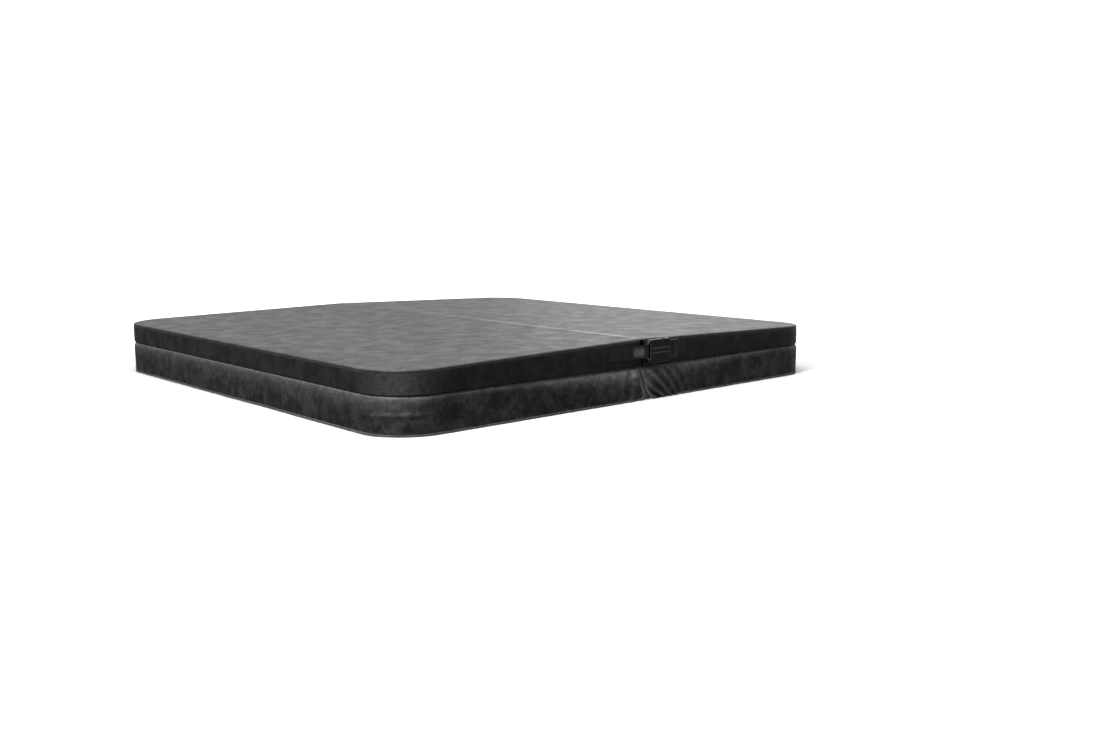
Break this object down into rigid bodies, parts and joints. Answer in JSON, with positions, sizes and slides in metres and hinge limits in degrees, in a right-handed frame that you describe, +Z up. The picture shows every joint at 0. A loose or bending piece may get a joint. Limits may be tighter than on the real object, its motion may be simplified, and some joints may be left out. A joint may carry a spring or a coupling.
{
  "type": "folding spa cover",
  "caption": "Square folding spa cover: tapered foam halves in vinyl jackets, hinged along a central fold, with hanging skirts and buckled straps at the fold ends.",
  "frame": {"origin": "middle of the fold in plan, on the underside plane that rests on the spa's lip, which is the flat foot of the heat seal", "axes": "+X across the fold towards the half that lifts, +Y along the fold towards the rear, +Z up"},
  "size_m": [2.1362, 2.1748, 0.2296],
  "materials": {
    "top_vinyl": "mottled grained vinyl, weathered satin",
    "side_vinyl": "dark grained vinyl, satin",
    "skirt_vinyl": "dark crinkled mottled vinyl, satin sheen",
    "hem_tape": "folded vinyl binding, satin",
    "liner": "coated scrim, matte",
    "foam": "white expanded polystyrene beads",
    "film": "clear polyethylene film, glossy",
    "galvanised_steel": "galvanised, dull",
    "seal_vinyl": "foam-filled vinyl tube, satin",
    "webbing": "woven polypropylene webbing, matte",
    "buckle_plastic": "moulded acetal, fine texture",
    "zipper_tape": "woven tape with moulded teeth",
    "zipper_metal": "plated zinc, dull",
    "grommet_brass": "rolled brass, dull"
  },
  "bodies": {
    "left_half": {"left_foam_core": "foam", "left_channel": "galvanised_steel", "left_vapour_film": "film", "left_top_panel": "top_vinyl", "left_side_band": "side_vinyl", "left_fold_wall": "side_vinyl", "left_underside_liner": "liner", "left_skirt": "skirt_vinyl", "left_skirt_hem": "hem_tape", "left_hinge_leaf": "top_vinyl", "left_zipper_chain": "zipper_tape", "left_drain_grommet_front": "grommet_brass", "left_drain_grommet_rear": "grommet_brass", "fold_heat_seal": "seal_vinyl", "front_anchor_patch_left": "webbing", "rear_anchor_patch_left": "webbing"},
    "right_half": {"right_foam_core": "foam", "right_channel": "galvanised_steel", "right_vapour_film": "film", "right_top_panel": "top_vinyl", "right_side_band": "side_vinyl", "right_fold_wall": "side_vinyl", "right_underside_liner": "liner", "right_skirt": "skirt_vinyl", "right_skirt_hem": "hem_tape", "right_hinge_leaf": "top_vinyl", "right_zipper_chain": "zipper_tape", "right_drain_grommet_front": "grommet_brass", "right_drain_grommet_rear": "grommet_brass", "front_anchor_patch_right": "webbing", "rear_anchor_patch_right": "webbing"},
    "front_strap": {"front_strap_webbing": "webbing", "front_buckle_housing": "buckle_plastic"},
    "rear_strap": {"rear_strap_webbing": "webbing", "rear_buckle_housing": "buckle_plastic"},
    "front_tongue": {"front_buckle_tongue": "buckle_plastic", "front_tongue_webbing": "webbing"},
    "rear_tongue": {"rear_buckle_tongue": "buckle_plastic", "rear_tongue_webbing": "webbing"},
    "left_slider": {"left_zipper_slider": "zipper_metal"},
    "right_slider": {"right_zipper_slider": "zipper_metal"},
    "left_pull": {"left_zipper_pull": "zipper_metal"},
    "right_pull": {"right_zipper_pull": "zipper_metal"}
  },
  "joints": [
    {"name": "fold", "type": "hinge", "parent": "left_half", "child": "right_half", "pos_m": [0, 0, 0.103], "axis": [0, -1, 0], "range_deg": [0, 179.5]},
    {"name": "front_strap_swing", "type": "hinge", "parent": "left_half", "child": "front_strap", "pos_m": [-0.1005, -1.0706, 0.052], "axis": [0, 0, -1], "range_deg": [0, 165]},
    {"name": "rear_strap_swing", "type": "hinge", "parent": "left_half", "child": "rear_strap", "pos_m": [-0.1005, 1.0706, 0.052], "axis": [0, 0, 1], "range_deg": [0, 165]},
    {"name": "front_buckle_release", "type": "slide", "parent": "right_half", "child": "front_tongue", "axis": [1, 0, 0], "range_m": [0, 0.06]},
    {"name": "rear_buckle_release", "type": "slide", "parent": "right_half", "child": "rear_tongue", "axis": [1, 0, 0], "range_m": [0, 0.06]},
    {"name": "left_zipper_slide", "type": "slide", "parent": "left_half", "child": "left_slider", "axis": [0, 1, 0], "range_m": [0, 2.03]},
    {"name": "right_zipper_slide", "type": "slide", "parent": "right_half", "child": "right_slider", "axis": [0, -1, 0], "range_m": [0, 2.03]},
    {"name": "left_pull_lift", "type": "hinge", "parent": "left_slider", "child": "left_pull", "pos_m": [0.0001, -1.023, 0.078], "axis": [0, 0, 1], "range_deg": [0, 16]},
    {"name": "right_pull_lift", "type": "hinge", "parent": "right_slider", "child": "right_pull", "pos_m": [-0.0001, 1.023, 0.058], "axis": [0, 0, 1], "range_deg": [0, 16]}
  ],
  "couplings": [
    {"joint": "front_strap_swing", "follows": "fold", "ratio": 0.9},
    {"joint": "rear_strap_swing", "follows": "fold", "ratio": 0.9}
  ]
}
